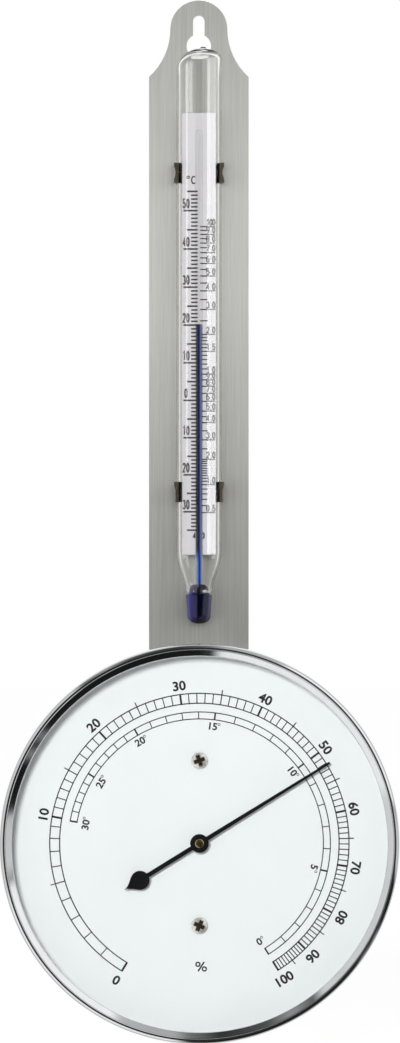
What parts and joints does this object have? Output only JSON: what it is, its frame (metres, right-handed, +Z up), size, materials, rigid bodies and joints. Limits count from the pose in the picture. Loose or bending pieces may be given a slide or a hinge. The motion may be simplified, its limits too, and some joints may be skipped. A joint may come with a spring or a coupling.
{
  "type": "polymeter",
  "caption": "Round wall hygrometer with a long pointer under a glass spirit thermometer, both on one narrow steel hanging plate with a keyhole.",
  "frame": {"origin": "centre of the round hanging hole, on the back face of the plate, which is the wall plane", "axes": "+X to the reader's right, +Y into the wall, +Z up along the plate; the dial faces -Y"},
  "size_m": [0.103, 0.0309, 0.2704],
  "materials": {
    "brushed_plate": "brushed along its length",
    "polished_bezel": "polished",
    "case_metal": "satin",
    "spring_steel": "oil blackened",
    "bright_steel": "nickel",
    "brass": "turned",
    "clear_glass": "polished",
    "dial_lacquer": "matt white lacquer, printed",
    "opal_glass": "opal, printed",
    "pointer_black": "black lacquer",
    "blue_spirit": "dyed liquid",
    "rubber": "matt",
    "hair": "stretched hair"
  },
  "bodies": {
    "frame": {"back_plate": "brushed_plate", "upper_clip": "spring_steel", "lower_clip": "spring_steel", "clip_rivets": "bright_steel", "glass_jacket": "clear_glass", "capillary_rod": "clear_glass", "bulb": "clear_glass", "bulb_spirit": "blue_spirit", "spirit_column": "blue_spirit", "scale_plate": "opal_glass", "scale_rest": "clear_glass", "case_shell": "case_metal", "case_screws": "bright_steel", "posts": "brass", "bezel": "polished_bezel", "crystal": "clear_glass", "crystal_gasket": "rubber", "dial": "dial_lacquer", "dial_screws": "bright_steel", "movement_plate": "brass", "bridge": "brass", "pillars": "brass", "pillar_nuts": "bright_steel", "pointer_front_bush": "brass", "pointer_rear_bush": "brass", "sector_bushes": "brass", "hairspring": "bright_steel", "spring_stud": "brass", "hair_bundle": "hair", "adjuster_bush": "brass", "adjuster_washer": "bright_steel"},
    "sector": {"sector_arbor": "bright_steel", "sector_gear": "brass", "hair_crank": "brass", "lower_ferrule": "bright_steel"},
    "pointer_work": {"pointer_arbor": "brass", "pinion": "bright_steel", "spring_collet": "brass", "pointer_boss": "brass", "pointer": "pointer_black"},
    "adjuster": {"adjuster_stud": "brass", "adjuster_arm": "brass", "upper_ferrule": "bright_steel"},
    "spirit_top": {"spirit_level": "blue_spirit"}
  },
  "joints": [
    {"name": "sector_turn", "type": "hinge", "parent": "frame", "child": "sector", "pos_m": [-0.00826, -0.0172, -0.2188], "axis": [0, 1, 0], "range_deg": [-12.86, 29.57], "deforming": ["hair_bundle"]},
    {"name": "pointer_turn", "type": "hinge", "parent": "frame", "child": "pointer_work", "pos_m": [0, -0.0241, -0.207], "axis": [0, 1, 0], "range_deg": [-207, 90], "deforming": ["hairspring"]},
    {"name": "adjuster_turn", "type": "hinge", "parent": "frame", "child": "adjuster", "pos_m": [-0.018, -0.0031, -0.171], "axis": [0, 1, 0], "range_deg": [-15, 15], "deforming": ["hair_bundle"]},
    {"name": "spirit_rise", "type": "slide", "parent": "frame", "child": "spirit_top", "axis": [0, 0, 1], "range_m": [-0.0535, 0.0348], "deforming": ["spirit_column"]}
  ],
  "couplings": [
    {"joint": "pointer_turn", "follows": "sector_turn", "ratio": -7}
  ]
}
